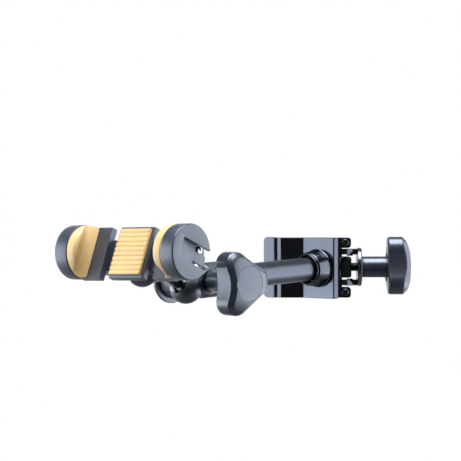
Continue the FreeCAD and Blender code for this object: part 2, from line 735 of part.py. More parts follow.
# Gripper housing: cover, tray and stem in the gripper's frame (X along the phone's width, Y up, -Z to the back)
STEM = BALL
stem_back = collar_near + 2.4 + s.gap_face
keep("stem_nut", turned("stem_nut", (
    (s.shank_radius + s.fit_run, stem_back), (s.nut_radius - 0.6, stem_back), (s.nut_radius, stem_back + 0.5),
    (s.nut_radius, stem_back + 3.2), (s.shank_radius + s.fit_run, stem_back + 3.2),
), STEM))
stem_low = stem_back + 3.2 + s.gap_face
keep("grip_stem", turned("grip_stem", (
    (s.shank_radius + s.fit_run, stem_low), (s.stem_foot_radius - 0.6, stem_low), (s.stem_foot_radius, stem_low + 0.6),
    (s.stem_waist_radius, stem_front - 5), (s.stem_flare_radius, stem_front - 2.4),
    (s.stem_flare_radius, stem_front - s.gap_face), (0, stem_front - s.gap_face), (0, shank_end + 0.4),
    (s.shank_radius + s.fit_run, shank_end + 0.4),
), STEM))

tongue_back = s.housing_back - 2.6
tongue_front = tongue_back - s.tongue_thick
cover_back = tongue_front - s.gap_face
cover_front = s.slide_back + s.gap_face
channel = s.tongue_width + 0.8
half_w = s.housing_half_width
half_h = s.housing_half_height
tray = box("tray_blank", -half_w, half_w, -half_h, half_h, -s.housing_back, -cover_back - s.gap_face, GRIP)
tray_tools = []
for side in (1, -1):
    near, far = sorted((side * 0.7, side * (channel + 0.2)))
    ends = sorted((side * -(half_w - 2.0), side * (half_w + 1)))
    tray_tools.append(box("tray_channel", ends[0], ends[1], near, far, -tongue_back - 0.1, -cover_back, GRIP))
tray_cut = cut("tray_cut", tray, *tray_tools)
posts = []
for side in (1, -1):
    near, far = sorted((side * 2.9, side * 6.5))
    ends = sorted((side * 20.3, side * 23.3))
    posts.append(box("tray_post", ends[0], ends[1], near, far, -tongue_back - 0.2, -tongue_front - 0.5, GRIP))
keep("grip_housing", fuse("grip_housing", tray_cut, *posts))
cover = box("grip_cover", -half_w, half_w, -half_h, half_h, -cover_back, -cover_front, GRIP)
keep("grip_cover", cover)

# Middle rest behind the phone and its soft pad
keep("back_rest", box("back_rest", -14.2, 14.2, -s.slide_half_height, s.slide_half_height,
                      -s.slide_back, -s.slide_front + 0.6, GRIP))
keep("back_pad", box("back_pad", -12.4, 12.4, -14.5, 14.5, -s.slide_front + 0.7, -s.phone_thick - 0.3, GRIP))


# Jaws: slide plate, tongue, cap with accessory shoe, soft pad
def jaw(side, word):
    ARMED = GRIP if side == 1 else GRIP.multiply(turn(V(0, 0, 1), 180))
    cap_line = ARMED.multiply(move(0, 0, -s.cap_depth)).multiply(turn(V(0, 1, 0), 90))
    plate = box(word + "_plate", s.slide_inner, s.cap_inner - 0.1, -s.slide_half_height, s.slide_half_height,
                -s.slide_back, -s.slide_front, ARMED)
    heel_start = half_w + 0.2
    base_start = (half_w + s.cap_inner) / 2
    heel = box(word + "_heel", heel_start, s.cap_inner - 0.1, -9.0, 9.0, -tongue_back, -s.slide_back + 0.1, ARMED)
    tongue = box(word + "_tongue", 16.7 - half_w, heel_start + 0.1, 0.9, 0.9 + s.tongue_width, -tongue_back, -tongue_front, ARMED)
    slot = box(word + "_spring_slot", 20.7 - half_w, half_w - 2.7, 2.6, 6.8, -tongue_back - 1, -tongue_front + 1, ARMED)
    base = turned(word + "_base", (
        (0, base_start), (s.cap_radius - 1.6, base_start), (s.cap_radius - 1.6, s.cap_inner - 0.1),
        (0, s.cap_inner - 0.1),
    ), cap_line)
    front_only = box(word + "_base_limit", 30, 45, -20, 20, -s.slide_front - 0.1, 20, ARMED)
    base_front = cut(word + "_base_back", base, front_only)
    bolts = []
    for y in (-s.screw_spread, s.screw_spread):
        at = ARMED.multiply(PLACE(V(0, y, -s.screw_depth), TURN(V(0, 1, 0), 90)))
        bolts.append(rod(word + "_bolt_hole", 1.35, 30, 60, at))
    solid = fuse(word + "_joined", plate, heel, tongue, base_front)
    keep(word + "_jaw", cut(word + "_jaw", solid, slot, *bolts))

    cap = turned(word + "_cap_disc", (
        (0, s.cap_inner), (s.cap_radius - 0.5, s.cap_inner), (s.cap_radius, s.cap_inner + 0.5),
        (s.cap_radius, s.cap_outer - 0.8), (s.cap_radius - 0.8, s.cap_outer), (0, s.cap_outer),
    ), cap_line)
    far = s.cap_depth + s.cap_radius + 1
    tools = [
        box(word + "_shoe_mouth", s.shoe_floor, s.cap_outer + 1, -s.shoe_open, s.shoe_open, -far, -s.shoe_start, ARMED),
        box(word + "_shoe_slot", s.shoe_floor, s.cap_outer - s.shoe_lip, -s.shoe_wide, s.shoe_wide, -far, -s.shoe_start, ARMED),
    ]
    recess_floor = s.shoe_floor - s.recess_depth
    for side_ in (1, -1):
        low, high = sorted((side_ * 3.0, side_ * (s.shoe_wide - 0.5)))
        tools.append(box(word + "_shoe_recess", recess_floor, s.shoe_floor + 0.5, low, high, -far, -s.screw_depth + 3.9, ARMED))
    holes = []
    for y in (-s.screw_spread, s.screw_spread):
        at = ARMED.multiply(PLACE(V(0, y, -s.screw_depth), TURN(V(0, 1, 0), 90)))
        holes.append(rod(word + "_cap_hole", 1.35, 30, 60, at))
        holes.append(rod(word + "_cap_seat", 2.3, recess_floor - 0.4, recess_floor + 0.1, at))
    keep(word + "_cap", cut(word + "_cap", cap, *tools, *holes))
    screws = []
    for y in (-s.screw_spread, s.screw_spread):
        at = ARMED.multiply(PLACE(V(recess_floor - 0.3, y, -s.screw_depth), TURN(V(0, 1, 0), 90)))
        screws.append(cap_screw("%s_screw_%d" % (word, round(y)), at, 2.2, 1.2, 1.3, 9.0))
    keep(word + "_screws", group(word + "_screws", screws))

    pad = turned(word + "_pad_disc", (
        (0, s.lip_inner), (s.cap_radius - 1.4, s.lip_inner), (s.cap_radius - 0.5, s.lip_inner + 1.2),
        (s.cap_radius - 0.3, s.cap_inner - s.gap_soft), (0, s.cap_inner - s.gap_soft),
    ), cap_line)
    groove = doc.addObject("Part::Feature", word + "_pad_groove")
    middle = s.phone_thick / 2
    wedge = Part.makePolygon([
        V(s.lip_inner - 1, 30, -middle - 7.6), V(s.groove_bottom, 30, -middle - 1.2),
        V(s.groove_bottom, 30, -middle + 1.2), V(s.lip_inner - 1, 30, -middle + 7.6), V(s.lip_inner - 1, 30, -middle - 7.6),
    ])
    groove.Shape = Part.Face(wedge).extrude(V(0, -60, 0))
    groove.Placement = ARMED
    behind = box(word + "_pad_limit", 30, 45, -20, 20, -40, -s.soft_back, ARMED)
    keep(word + "_pad", cut(word + "_pad", pad, groove, behind))
    coil = turned(word + "_spring", ((1.1, 0.3), (1.7, 0.3), (1.7, 20.0), (1.1, 20.0)),
                  ARMED.multiply(PLACE(V(0, 4.7, -(tongue_back + tongue_front) / 2), TURN(V(0, 1, 0), 90))))
    keep(word + "_spring", coil)


jaw(1, "right")
jaw(-1, "left")

# Check every object and write one file for each node
doc.recompute()
for item in doc.Objects:
    if "Invalid" in item.State or "Error" in item.State:
        raise ValueError("object %s is %s" % (item.Label, item.State))
for name, item in nodes.items():
    shape = item.Shape
    if shape.isNull() or not shape.isValid() or not shape.Solids:
        raise ValueError("bad shape %s" % name)
    shape.exportStep("parts/%s.step" % name)
    print(name, len(shape.Solids), round(shape.Volume, 1))
print(len(nodes), "nodes", BALL_CENTRE, ARM.Rotation.multVec(V(0, 0, 1)), ARM.Rotation.multVec(V(1, 0, 0)))
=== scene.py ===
import json
import math

import bpy
from mathutils import Matrix, Vector


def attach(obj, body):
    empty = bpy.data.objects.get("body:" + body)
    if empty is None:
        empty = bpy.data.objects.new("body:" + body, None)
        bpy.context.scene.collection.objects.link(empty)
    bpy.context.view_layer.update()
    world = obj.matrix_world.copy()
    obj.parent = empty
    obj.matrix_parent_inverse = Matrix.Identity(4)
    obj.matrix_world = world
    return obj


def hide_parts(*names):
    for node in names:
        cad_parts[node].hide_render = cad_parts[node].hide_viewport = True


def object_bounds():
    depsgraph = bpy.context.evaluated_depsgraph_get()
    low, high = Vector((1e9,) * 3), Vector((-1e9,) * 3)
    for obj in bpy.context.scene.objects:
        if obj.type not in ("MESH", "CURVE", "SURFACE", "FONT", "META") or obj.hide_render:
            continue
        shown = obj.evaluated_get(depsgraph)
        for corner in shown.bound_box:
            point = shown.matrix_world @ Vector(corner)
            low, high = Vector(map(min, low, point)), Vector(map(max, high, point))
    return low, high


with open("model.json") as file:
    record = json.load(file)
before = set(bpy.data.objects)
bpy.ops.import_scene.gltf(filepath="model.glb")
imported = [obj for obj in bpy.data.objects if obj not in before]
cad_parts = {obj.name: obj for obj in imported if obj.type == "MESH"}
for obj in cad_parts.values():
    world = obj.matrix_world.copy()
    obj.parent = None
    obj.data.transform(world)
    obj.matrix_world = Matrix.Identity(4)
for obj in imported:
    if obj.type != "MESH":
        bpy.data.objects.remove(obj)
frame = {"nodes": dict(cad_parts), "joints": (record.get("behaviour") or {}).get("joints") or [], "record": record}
cad_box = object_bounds()

# Frames of the assembly, read from the joints. Pieces are modelled in millimetres in these frames
MM = Matrix.Scale(0.001, 4)
joints = {joint["name"]: joint for joint in frame["joints"]}


def joint_axis(name):
    return Vector(joints[name]["axis"]).normalized()


def joint_point(name):
    return Vector(joints[name]["pos_m"])


def axes_at(point, x, z):
    """A frame at point with the given X and Z directions."""
    turned = Matrix((x, z.cross(x), z)).transposed().to_4x4()
    turned.translation = point
    return turned


def shift(x, y, z):
    return Matrix.Translation((x, y, z))


def spin(degrees, axis):
    return Matrix.Rotation(math.radians(degrees), 4, axis)


ARM_LENGTH = 109.0
# From the knob's line to the ball's shell, along the arm and across it
BALL_REACH, BALL_DROP = 12.5, 3.2
# From the ball to the gripper, along its stem and across it
BALL_DEPTH, STEM_DROP = 63.0, 2.9
# Radius of the holes for the 6 mm screws and bolts
SCREW_HOLE = 3.05
arm_axis = joint_axis("arm_pivot")
knob_axis = joint_axis("lock_knob_turn")
CLAMP = MM
ARM = axes_at(joint_point("arm_pivot"), knob_axis, arm_axis) @ MM
# The lock knob's line crosses the arm; in the arm's own frame it runs along X
CROSSING = axes_at(Vector((0, 0, ARM_LENGTH)), Vector((0, 0, -1)), Vector((1, 0, 0)))
KNOB_LINE = ARM @ CROSSING
BALL = axes_at(joint_point("ball_pan"), joint_axis("ball_tilt"), joint_axis("ball_pan")) @ MM
GRIP = BALL @ shift(0, STEM_DROP, BALL_DEPTH)
SCREW_AXIS = axes_at(Vector((0, 0, 0)), Vector((0, 1, 0)), Vector((1, 0, 0)))
SCREW_LINE = CLAMP @ SCREW_AXIS


# Finishes
def node_of(tree, kind, **values):
    node = tree.nodes.new(kind)
    for key, value in values.items():
        setattr(node, key, value)
    return node


MOTTLE_SCALE, MOTTLE_DETAIL = 90, 4
GRAIN_DETAIL = 2
# Most of the mottle noise lies between these two values
NOISE_LOW, NOISE_HIGH = 0.3, 0.7


def finish(name, color, second, roughness, spread, grain, bump, metallic=0.0, ior=1.5, tint=(1, 1, 1),
           stretch=(1, 1, 1)):
    """A finish that drifts between two shades, with uneven gloss and a fine grain.

    The roughness varies by spread. grain is the scale of the fine noise and bump its depth, in metres.
    stretch squeezes the pattern along the axes."""
    material = bpy.data.materials.new(name)
    material.use_nodes = True
    tree = material.node_tree
    shader = tree.nodes["Principled BSDF"]
    shader.inputs["Metallic"].default_value = metallic
    shader.inputs["IOR"].default_value = ior
    shader.inputs["Specular Tint"].default_value = (*tint, 1)
    place = node_of(tree, "ShaderNodeTexCoord")
    mapping = node_of(tree, "ShaderNodeMapping")
    mapping.inputs["Scale"].default_value = stretch
    tree.links.new(place.outputs["Object"], mapping.inputs["Vector"])
    cloud = node_of(tree, "ShaderNodeTexNoise")
    cloud.inputs["Scale"].default_value = MOTTLE_SCALE
    cloud.inputs["Detail"].default_value = MOTTLE_DETAIL
    tree.links.new(mapping.outputs["Vector"], cloud.inputs["Vector"])
    mottle = node_of(tree, "ShaderNodeMix", data_type="RGBA")
    mottle.inputs["A"].default_value = (*color, 1)
    mottle.inputs["B"].default_value = (*second, 1)
    tree.links.new(cloud.outputs["Fac"], mottle.inputs["Factor"])
    tree.links.new(mottle.outputs["Result"], shader.inputs["Base Color"])
    gloss = node_of(tree, "ShaderNodeMapRange")
    gloss.inputs["From Min"].default_value = NOISE_LOW
    gloss.inputs["From Max"].default_value = NOISE_HIGH
    gloss.inputs["To Min"].default_value = roughness - spread
    gloss.inputs["To Max"].default_value = roughness + spread
    tree.links.new(cloud.outputs["Fac"], gloss.inputs["Value"])
    tree.links.new(gloss.outputs["Result"], shader.inputs["Roughness"])
    fine = node_of(tree, "ShaderNodeTexNoise")
    fine.inputs["Scale"].default_value = grain
    fine.inputs["Detail"].default_value = GRAIN_DETAIL
    tree.links.new(mapping.outputs["Vector"], fine.inputs["Vector"])
    relief = node_of(tree, "ShaderNodeBump")
    relief.inputs["Strength"].default_value = 1.0
    relief.inputs["Distance"].default_value = bump
    tree.links.new(fine.outputs["Fac"], relief.inputs["Height"])
    tree.links.new(relief.outputs["Normal"], shader.inputs["Normal"])
    return material


# Depths of the grain, in metres
POLISHED, SMOOTH, SOFT, LEATHERY, COARSE = 0.00001, 0.00002, 0.00004, 0.00005, 0.00006
# The black plastics reflect a little blue
COOL = (0.74, 0.82, 1.0)
FINISHES = {
    "black_casting": finish(
        "black_casting", (0.08, 0.09, 0.116), (0.105, 0.116, 0.146), 0.21, 0.03, 1500, SMOOTH, metallic=1.0),
    "black_tube": finish(
        "black_tube", (0.095, 0.106, 0.134), (0.125, 0.136, 0.167), 0.38, 0.03, 900, SMOOTH, metallic=1.0),
    "black_steel": finish(
        "black_steel", (0.10, 0.105, 0.12), (0.16, 0.165, 0.185), 0.30, 0.05, 2500, POLISHED, metallic=1.0),
    "bright_steel": finish(
        "bright_steel", (0.62, 0.62, 0.64), (0.72, 0.72, 0.74), 0.24, 0.06, 2500, POLISHED, metallic=1.0),
    "knob_plastic": finish(
        "knob_plastic", (0.026, 0.031, 0.042), (0.036, 0.042, 0.056), 0.30, 0.04, 2200, SMOOTH, ior=2.1,
        tint=COOL),
    "grip_plastic": finish(
        "grip_plastic", (0.046, 0.053, 0.072), (0.060, 0.068, 0.090), 0.38, 0.05, 3500, LEATHERY, ior=1.95,
        tint=COOL),
    "orange_rubber": finish(
        "orange_rubber", (0.96, 0.63, 0.27), (0.99, 0.71, 0.34), 0.40, 0.05, 3000, SOFT, ior=1.7),
    "black_rubber": finish(
        "black_rubber", (0.016, 0.016, 0.017), (0.03, 0.03, 0.031), 0.75, 0.06, 2600, COARSE),
    "bearing_plastic": finish(
        "bearing_plastic", (0.62, 0.62, 0.58), (0.68, 0.68, 0.64), 0.4, 0.05, 2000, SMOOTH),
}
DISC_STEEL = finish(
    "disc_steel", (0.17, 0.18, 0.205), (0.25, 0.26, 0.29), 0.26, 0.05, 1800, SMOOTH, metallic=1.0,
    stretch=(6, 1, 1))
DARK_STEEL = finish(
    "dark_steel", (0.05, 0.054, 0.064), (0.08, 0.085, 0.098), 0.22, 0.05, 2500, POLISHED, metallic=1.0)
# Rougher, satin black for the arm's head and the draw plate. Its tone is lighter than the clamp's casting, and
# that lighter tone is painted light on these parts.
HEAD_SATIN_PAINTED_LIGHT = finish(
    "head_satin_painted_light", (0.125, 0.136, 0.165), (0.155, 0.167, 0.200), 0.42, 0.04, 1500, SMOOTH, metallic=1.0)
BLOCK_BLACK = finish("block_black", (0.004, 0.004, 0.005), (0.007, 0.007, 0.009), 0.5, 0.06, 1800, SOFT)


# Modelling helpers
MERGE_DISTANCE = 0.0005
SMOOTH_ANGLE = 35


def select_only(piece):
    bpy.ops.object.select_all(action="DESELECT")
    piece.select_set(True)
    bpy.context.view_layer.objects.active = piece


def apply_all(piece):
    select_only(piece)
    for modifier in list(piece.modifiers):
        bpy.ops.object.modifier_apply(modifier=modifier.name)


def tidy_normals(piece):
    select_only(piece)
    bpy.ops.object.mode_set(mode="EDIT")
    bpy.ops.mesh.select_all(action="SELECT")
    bpy.ops.mesh.remove_doubles(threshold=MERGE_DISTANCE)
    bpy.ops.mesh.normals_make_consistent(inside=False)
    bpy.ops.object.mode_set(mode="OBJECT")


def lofted(name, rings, steps=96, looped=False):
    """A skin through rings, each a function of the angle that gives a point in millimetres."""
    bpy.ops.object.select_all(action="DESELECT")
    bpy.ops.mesh.primitive_circle_add(vertices=steps, radius=1, fill_type="NOTHING")
    piece = bpy.context.object
    piece.name = name
    bpy.ops.object.mode_set(mode="EDIT")
    bpy.ops.mesh.select_all(action="SELECT")
    for _ in rings[1:]:
        bpy.ops.mesh.extrude_region_move(TRANSFORM_OT_translate={"value": (0, 0, 1)})
    bpy.ops.object.mode_set(mode="OBJECT")
    for vertex in piece.data.vertices:
        angle = math.atan2(vertex.co.y, vertex.co.x)
        vertex.co = rings[round(vertex.co.z)](angle)
    bpy.ops.object.mode_set(mode="EDIT")
    bpy.ops.mesh.select_all(action="DESELECT")
    bpy.ops.mesh.select_non_manifold()
    if looped:
        bpy.ops.mesh.bridge_edge_loops()
    else:
        bpy.ops.mesh.fill_holes(sides=0)
    bpy.ops.object.mode_set(mode="OBJECT")
    tidy_normals(piece)
    return piece


def ring(radius, height):
    return lambda angle: Vector((radius * math.cos(angle), radius * math.sin(angle), height))


def lathed(name, profile, steps=96):
    """A turned piece from (radius, height) points; a profile that ends where it starts has a bore."""
    bored = profile[0] == profile[-1]
    points = profile[:-1] if bored else profile
    return lofted(name, [ring(radius, height) for radius, height in points], steps, bored)


def brick(name, x1, x2, y1, y2, z1, z2):
    """A block between the given planes."""
    bpy.ops.object.select_all(action="DESELECT")
    centre = ((x1 + x2) / 2, (y1 + y2) / 2, (z1 + z2) / 2)
    bpy.ops.mesh.primitive_cube_add(size=1, location=centre, scale=(abs(x2 - x1), abs(y2 - y1), abs(z2 - z1)))
    piece = bpy.context.object
    piece.name = name
    bpy.ops.object.transform_apply(location=True, rotation=True, scale=True)
    return piece


def prism(name, outline, bottom, top):
    """An outline in X and Y, drawn up from bottom to top."""
    bpy.ops.object.select_all(action="DESELECT")
    bpy.ops.mesh.primitive_circle_add(vertices=len(outline), radius=1, fill_type="NGON")
    piece = bpy.context.object
    piece.name = name
    for vertex, (x, y) in zip(piece.data.vertices, outline):
        vertex.co = (x, y, bottom)
    bpy.ops.object.mode_set(mode="EDIT")
    bpy.ops.mesh.select_all(action="SELECT")
    bpy.ops.mesh.extrude_region_move(TRANSFORM_OT_translate={"value": (0, 0, top - bottom)})
    bpy.ops.object.mode_set(mode="OBJECT")
    tidy_normals(piece)
    return piece


def sphere(name, radius):
    bpy.ops.object.select_all(action="DESELECT")
    bpy.ops.mesh.primitive_uv_sphere_add(segments=96, ring_count=48, radius=radius)
    piece = bpy.context.object
    piece.name = name
    return piece


def hexagon(radius):
    """The corners of a six-sided outline, for a nut or a socket."""
    corners = [math.radians(60 * i) for i in range(6)]
    return [(radius * math.cos(corner), radius * math.sin(corner)) for corner in corners]


def placed(piece, matrix):
    piece.data.transform(matrix)
    return piece


def combine(piece, others, operation):
    for other in others:
        modifier = piece.modifiers.new("join", "BOOLEAN")
        modifier.operation = operation
        modifier.solver = "EXACT"
        modifier.object = other
        apply_all(piece)
        bpy.data.objects.remove(other)
    tidy_normals(piece)
    return piece


def carve(piece, *cutters):
    return combine(piece, cutters, "DIFFERENCE")


def weld(piece, *others):
    return combine(piece, others, "UNION")


def softened(corners, steps=6):
    """An outline whose (x, y, radius) corners are rounded."""
    points = []
    for i, corner in enumerate(corners):
        here = Vector(corner[:2])
        if len(corner) < 3:
            points.append(tuple(here))
            continue
        back = (Vector(corners[i - 1][:2]) - here).normalized()
        on = (Vector(corners[(i + 1) % len(corners)][:2]) - here).normalized()
        half = back.angle(on) / 2
        centre = here + (back + on).normalized() * corner[2] / math.sin(half)
        first = here + back * corner[2] / math.tan(half) - centre
        last = here + on * corner[2] / math.tan(half) - centre
        for k in range(steps + 1):
            bent = first.lerp(last, k / steps).normalized() * corner[2]
            points.append(tuple(centre + bent))
    return points


def round_edges(piece, width, segments=3, angle=32):
    bevel = piece.modifiers.new("bevel", "BEVEL")
    bevel.width = width
    bevel.segments = segments
    bevel.limit_method = "ANGLE"
    bevel.angle_limit = math.radians(angle)
    bevel.use_clamp_overlap = True
    bevel.miter_outer = "MITER_ARC"
    apply_all(piece)
    return piece


def fit_out(piece, place, body, slot, *stands_for, look=None):
    """Puts a finished piece in its place, gives it its finish and ties it to its body."""
    piece.data.transform(place)
    select_only(piece)
    bpy.ops.object.shade_smooth_by_angle(angle=math.radians(SMOOTH_ANGLE))
    piece.data.materials.clear()
    piece.data.materials.append(look or FINISHES[slot])
    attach(piece, body)
    if stands_for:
        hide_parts(*stands_for)
    return piece


def socket_screw(name, place, body, slot, node, head_radius, head, shank_radius, shank, look=None):
    """A screw with a rounded head above the local origin and a six-sided socket.

    head and shank are the lengths of the two."""
    screw = lathed(name, [
        (0.2, -shank), (shank_radius - 0.3, -shank), (shank_radius, -shank + 0.4), (shank_radius, 0),
        (head_radius - 0.1, 0), (head_radius, 0.1), (head_radius, head * 0.55),
        (head_radius * 0.95, head * 0.78), (head_radius * 0.84, head * 0.93), (head_radius * 0.7, head),
        (0.2, head),
    ], 64)
    carve(screw, prism("socket", hexagon(head_radius * 0.36), head * 0.25, head + 1))
    return fit_out(screw, place, body, slot, node, look=look)


def corner_cutter(radius, depth, place):
    """Cuts a round corner where two faces meet at the local origin, with the solid towards +X and +Y."""
    block = brick("corner", -1, radius, -1, radius, -depth, depth)
    round_bar = lathed("corner_round", [(radius, -depth - 1), (radius, depth + 1)], 64)
    carve(block, placed(round_bar, shift(radius, radius, 0)))
    return placed(block, place)


# Clamp. WALL and INNER_WALL are the depths of the front wall's two faces, in front of the axis
WALL, INNER_WALL = 16.0, 12.2
HALF_HEIGHT = 20.0
HOOK_LEFT, HOOK_INNER = -19.3, -13.0
HOOK_CORNER, PLATE_CORNER, LUG_CORNER = 2.5, 1.5, 2.4
# The plate leaves the wall at 45 degrees
PLATE_ROOT = 6.7
PLATE_LENGTH, PLATE_THICK = 27.2, 4.2
LUG_END = 38.4
LUG_SCREW_X, LUG_SCREW_Z = 34.4, 16.5
WINDOW = 13.0
CASTING_EDGE = 50
LINING_HOLLOW = 9.4


def clamp_casting():
    skin = PLATE_THICK * math.sqrt(0.5)
    run = PLATE_LENGTH * math.sqrt(0.5)
    tip = (PLATE_ROOT + run, -WALL - run)
    plate_foot = tip[0] + skin - (run - skin)
    outline = softened([
        (PLATE_ROOT, -WALL), (*tip, 1.1), (tip[0] + skin, tip[1] + skin, 0.5), (plate_foot, -WALL),
        (LUG_END, -WALL, 0.6), (LUG_END, -INNER_WALL), (HOOK_INNER, -INNER_WALL), (HOOK_INNER, 10.0),
        (-11.8, 11.7, 0.4), (-12.6, 12.5, 0.3), (-16.9, 12.5, 0.8), (HOOK_LEFT, 9.9, 0.8),
        (HOOK_LEFT, -8.9, 0.8), (-13.6, -14.6, 0.4), (-12.5, -15.2), (-8.2, -WALL),
    ])
    casting = prism("clamp_casting", outline, -HALF_HEIGHT, HALF_HEIGHT)
    round_edges(casting, 0.5, angle=CASTING_EDGE)
    carve(casting, brick("window", 31.0, 40.0, -17, -11, -WINDOW, WINDOW))
    cutters = []
    plate_end = shift(tip[0], tip[1], 0) @ spin(135, "Z")
    for side in (1, -1):
        level = shift(0, 0, side * HALF_HEIGHT)
        upright = spin(-90 * side, "X")
        cutters.append(corner_cutter(HOOK_CORNER, 16.4, shift(HOOK_LEFT, 0, 0) @ level @ upright))
        cutters.append(corner_cutter(PLATE_CORNER, 8, plate_end @ level @ upright))
        for inner in (1, -1):
            corner = side * (HALF_HEIGHT if inner > 0 else WINDOW)
            lug = shift(LUG_END, -14, corner) @ spin(180, "Z") @ spin(-90 * side * inner, "X")
            cutters.append(corner_cutter(LUG_CORNER, 3.5, lug))
    carve(casting, *cutters)
    round_edges(casting, 0.4, angle=CASTING_EDGE)
    # The groove lies between the hook's slanted front and the wall
    cutters = [prism("groove", [
        (-12.75, -17), (-12.75, -13.7), (-12.15, -13.5), (-11.75, -13.4), (-8.2, -15.99), (-8.2, -17),
    ], -30, 30)]
    for side in (1, -1):
        seat = lathed("seat", [(2.9, -1), (2.9, 1.6), (1.7, 1.6), (1.7, 6)], 64)
        cutters.append(placed(seat, shift(LUG_SCREW_X, -WALL, side * LUG_SCREW_Z) @ spin(-90, "X")))
    carve(casting, *cutters)
    fit_out(casting, CLAMP, "clamp", "black_casting", "clamp_body")


def clamp_lining(name, x1, x2, body):
    """A ribbed soft block with a round hollow."""
    lining = brick(name + "_soft", x1, x2, -8, 8, -17, 17)
    carve(lining, lathed("hollow", [(LINING_HOLLOW, -30), (LINING_HOLLOW, 30)], 128))
    # Shallow grooves round the hollow leave ribs between them
    inner, outer = LINING_HOLLOW - 0.2, LINING_HOLLOW + 0.4
    grooves = []
    for level in range(-14, 15, 4):
        section = [(inner, level - 0.5), (outer, level - 0.3), (outer, level + 0.3), (inner, level + 0.5)]
        grooves.append(lathed("lining_groove", section, 96))
    carve(lining, *grooves)
    round_edges(lining, 0.25, 2)
    fit_out(lining, CLAMP, body, "black_rubber", name)


def collar():
    """The turned collar on the plate, and the ring that closes its front."""
    foot = lathed("arm_collar", [
        (3.1, 0.5), (3.1, -0.5), (11.5, -0.5), (11.6, 1.2), (12.2, 1.4), (12.5, 1.65), (12.6, 1.95),
        (12.5, 2.25), (12.2, 2.5), (11.95, 2.7), (11.9, 3.0), (10.95, 10.4), (10.8, 10.8), (10.5, 11.15),
        (10.1, 11.3), (9.3, 11.3), (9.1, 11.1), (9.1, 4.6), (7.8, 4.2), (7.8, 0.5), (3.1, 0.5),
    ], 160)
    fit_out(foot, ARM, "clamp", "black_casting", "clamp_body")
    lip = lathed("collar_lip", [
        (9.1, 11.4), (9.9, 11.4), (10.1, 11.6), (10.2, 11.9), (10.15, 12.2), (9.95, 12.5), (9.7, 12.6),
        (9.4, 12.5), (9.2, 12.3), (9.1, 12.0), (9.1, 11.4),
    ], 160)
    fit_out(lip, ARM, "clamp", "black_steel", "collar_ring", look=FINISHES["black_casting"])


def threaded_block():
    """The block between the lugs, with an arm round each rail, and the two screws that hold it."""
    near = 31.7
    core = round_edges(brick("screw_block_cast", near, 39.1, -9.1, 7.0, -7.0, 7.0), 1.6, 4)
    bars = []
    for side in (1, -1):
        low, high = sorted((13.5 * side, 19.4 * side))
        bars.append(round_edges(brick("block_arm", near, 38.0, -12.1, 6.9, low, high), 0.3, 2))
        low, high = sorted((5.0 * side, 15.0 * side))
        bars.append(brick("web", near, 33.4, 4.4, 6.8, low, high))
    weld(core, *bars)
    carve(core, placed(lathed("thread_hole", [(SCREW_HOLE, 20), (SCREW_HOLE, 50)], 64), SCREW_AXIS))
    fit_out(core, CLAMP, "clamp", "black_casting", "screw_block", look=BLOCK_BLACK)
    for side, word in ((1, "upper"), (-1, "lower")):
        seat = CLAMP @ shift(LUG_SCREW_X, -WALL + 1.5, LUG_SCREW_Z * side) @ spin(90, "X")
        socket_screw("lug_screw_" + word, seat, "clamp", "black_steel", "lug_screws", 2.6, 1.7, 1.5, 7.4)


def jaw_carriage():
    """The jaw plate with its two rails, and the disc that pulls on them."""
    plate = brick("jaw_plate", 13.1, 18.1, -11.9, 9.0, -19.0, 19.0)
    bars = []
    for side in (1, -1):
        low, high = sorted((8.4 * side, 12.2 * side))
        bars.append(brick("rail", 17.6, 43.0, -4, 4, low, high))
        low, high = sorted((7.6 * side, 12.4 * side))
        bars.append(prism("rail_tab", [(36.0, -3.5), (36.0, -7.9), (40.0, -5.6), (40.0, -3.5)], low, high))
    weld(plate, *bars)
    carve(plate, placed(lathed("tip_hole", [(SCREW_HOLE, 14.6), (SCREW_HOLE, 20)], 64), SCREW_AXIS))
    round_edges(plate, 0.6)
    fit_out(plate, CLAMP, "jaw", "black_casting", "jaw_carriage")
    disc = lathed("thrust_plate", [
        (SCREW_HOLE, 43.1), (12.3, 43.1), (12.7, 43.25), (12.9, 43.6), (12.9, 45.6), (12.7, 45.95),
        (12.3, 46.1), (SCREW_HOLE, 46.1), (SCREW_HOLE, 43.1),
    ], 160)
    fit_out(disc, SCREW_LINE, "jaw", "black_steel", "thrust_disc", look=DISC_STEEL)


def clamp_pieces():
    clamp_casting()
    collar()
    clamp_lining("hook_pad", -12.9, -7.8, "clamp")
    clamp_lining("jaw_pad", 7.8, 13.0, "jaw")
    threaded_block()
    jaw_carriage()


def threaded_rod(name, start, end, radius, pitch, thread_end):
    """A rod with rolled grooves, one for each turn, from its tip to thread_end."""
    root = radius - 0.5
    profile = [(0.3, start), (radius - 0.6, start)]
    for i in range(int((thread_end - start - 1.0) / pitch)):
        level = start + 0.6 + i * pitch
        profile += [(radius, level), (radius, level + 0.12 * pitch)]
        profile += [(root, level + 0.5 * pitch), (root, level + 0.62 * pitch)]
    profile += [(radius, thread_end), (radius, end), (0.3, end)]
    return lathed(name, profile, 48)


# Three-lobed knobs. Local Z runs from the sleeve's foot to the face
LOBE_CENTRE, LOBE_RADIUS, FLANK_RADIUS = 12.6, 8.5, 42.0
SLEEVE_RADIUS, SLEEVE, HEAD = 7.05, 16.8, 15.4
# The face is flat out to FACE_RADIUS; BAND is the width of the slanted edge round it
FACE_RADIUS, BAND = 11.0, 3.0
KNOB_TOP = SLEEVE + HEAD
DISC_DEPTH = 1.4
lobe_aside = LOBE_CENTRE * math.sin(math.radians(60))
# Distance from the axis to the centres of the flanks' hollows
hollow_reach = LOBE_CENTRE * 0.5 + math.sqrt((FLANK_RADIUS + LOBE_RADIUS) ** 2 - lobe_aside ** 2)


def lobe_touch():
    """Angle from a lobe's middle at which its round passes into the flank."""
    centre = Vector((LOBE_CENTRE, 0))
    hollow = Vector((hollow_reach * 0.5, hollow_reach * math.sin(math.radians(60))))
    point = centre + (hollow - centre).normalized() * LOBE_RADIUS
    return math.atan2(point.y, point.x)


